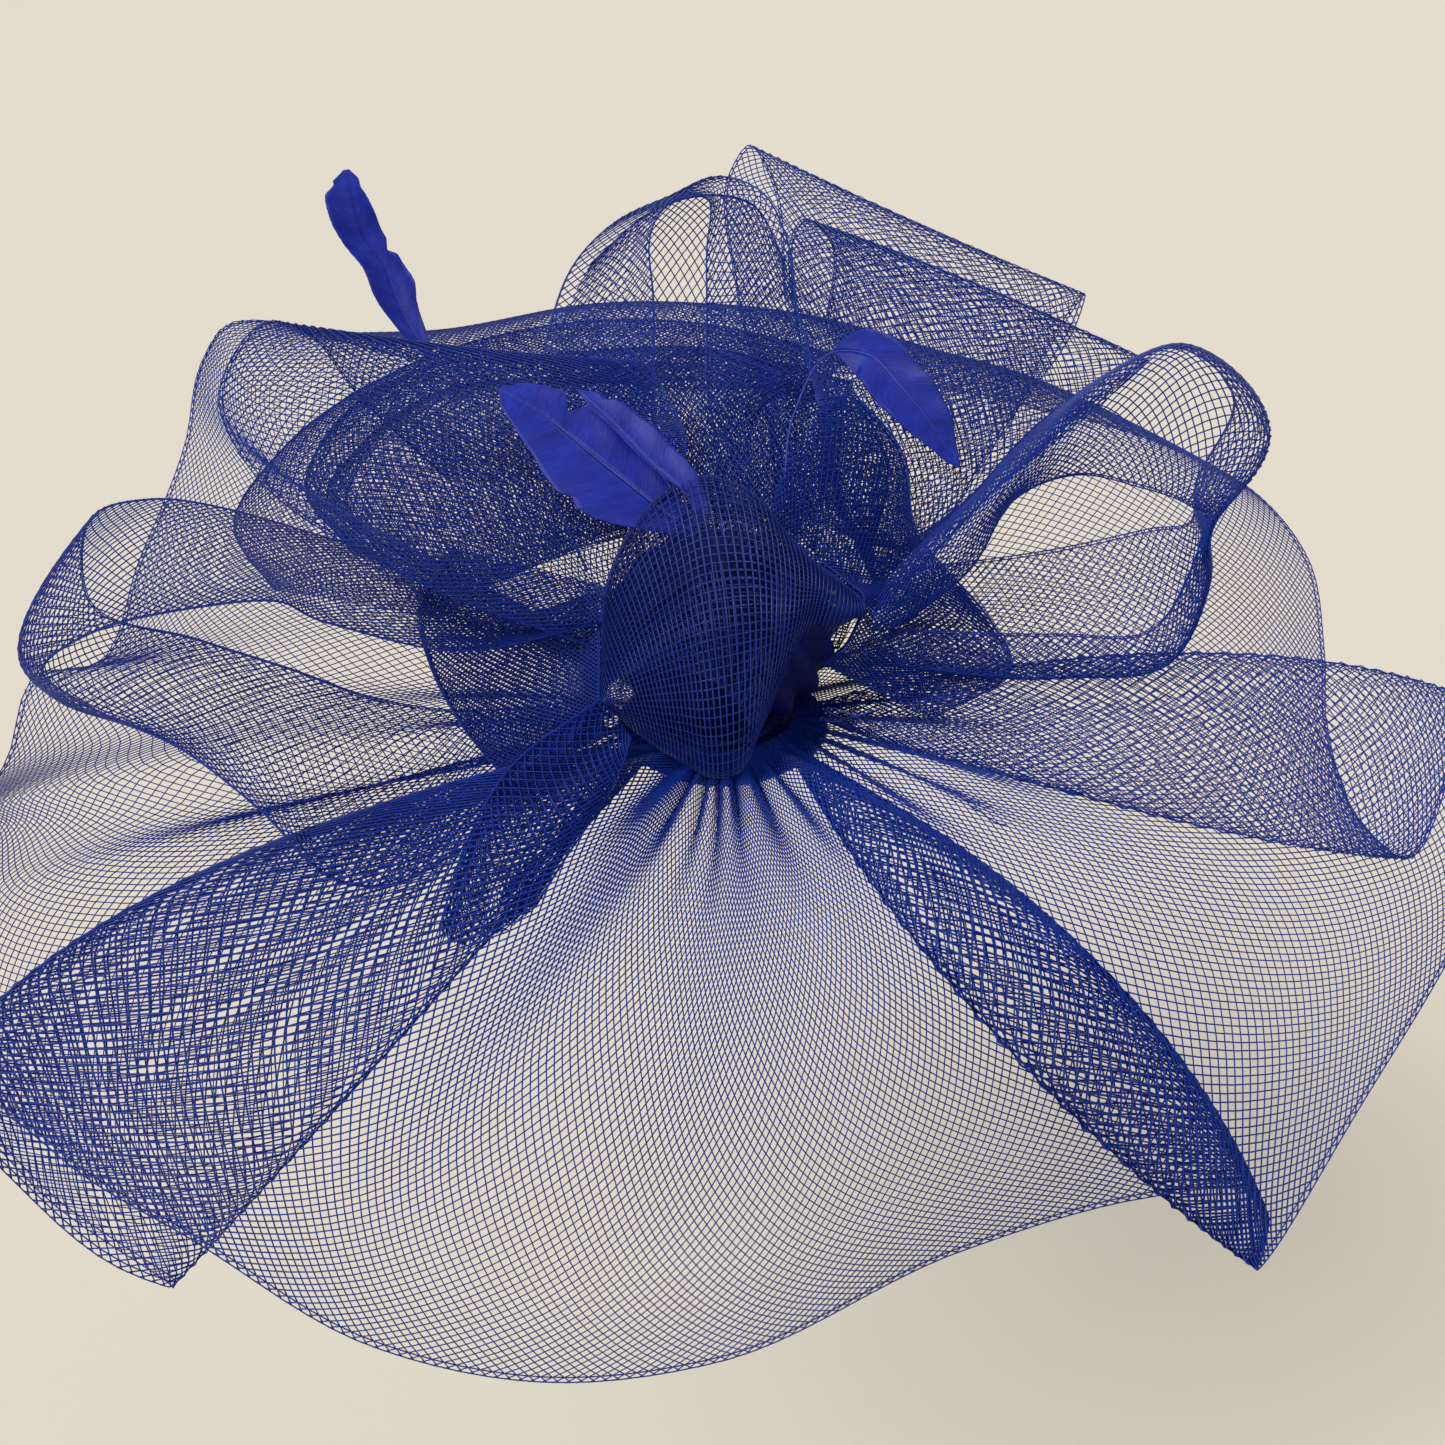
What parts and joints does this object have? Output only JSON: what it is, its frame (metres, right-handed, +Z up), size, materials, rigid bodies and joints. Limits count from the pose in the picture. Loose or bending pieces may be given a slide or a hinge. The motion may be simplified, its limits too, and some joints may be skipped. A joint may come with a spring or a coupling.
{
  "type": "fascinator headpiece",
  "caption": "Royal-blue crinoline mesh fascinator: gathered fluted brim, wrapped knot, standing loops and feathers on a small round base with a sprung clip.",
  "frame": {"origin": "head seat: the middle of the felt under the base disc, where it rests on the head", "axes": "+Z up as worn, -Y to the wearer's face, +X to the wearer's left"},
  "size_m": [0.366, 0.2468, 0.2094],
  "materials": {
    "crin_blue": "open nylon mesh",
    "feather_blue": "satin barbs",
    "stiffened_base": "woven, stiffened",
    "felt": "felt",
    "thread": "thread",
    "clip_steel": "plated"
  },
  "bodies": {
    "fascinator": {"base_disc": "stiffened_base", "base_binding": "crin_blue", "felt_pad_front": "felt", "felt_pad_back": "felt", "clip_stitches": "thread", "clip_base": "clip_steel", "clip_hinge_pin": "clip_steel", "clip_spring": "clip_steel", "gathered_core": "crin_blue", "gathering_thread": "thread", "knot": "crin_blue", "brim": "crin_blue", "loop_right": "crin_blue", "arch_loop": "crin_blue", "crown_fold_back": "crin_blue", "crown_fold_front": "crin_blue", "loop_upper_left": "crin_blue", "loop_lower_left": "crin_blue", "back_ruffle": "crin_blue", "petal_left": "crin_blue", "petal_right": "crin_blue", "fold_lower_left": "crin_blue", "arch_panel": "crin_blue", "feather_front_left_vane": "feather_blue", "feather_front_left_quill": "feather_blue", "feather_front_right_vane": "feather_blue", "feather_front_right_quill": "feather_blue", "feather_right_vane": "feather_blue", "feather_right_quill": "feather_blue", "feather_tall_vane": "feather_blue", "feather_tall_quill": "feather_blue"},
    "clip_jaw": {"clip_lever": "clip_steel"}
  },
  "joints": [
    {"name": "clip_open", "type": "hinge", "parent": "fascinator", "child": "clip_jaw", "pos_m": [0.01, 0.009, -0.0034], "axis": [0, -1, 0], "range_deg": [0, 25], "stiffness_Nm_per_rad": 0.02, "springref_deg": -20.05}
  ]
}
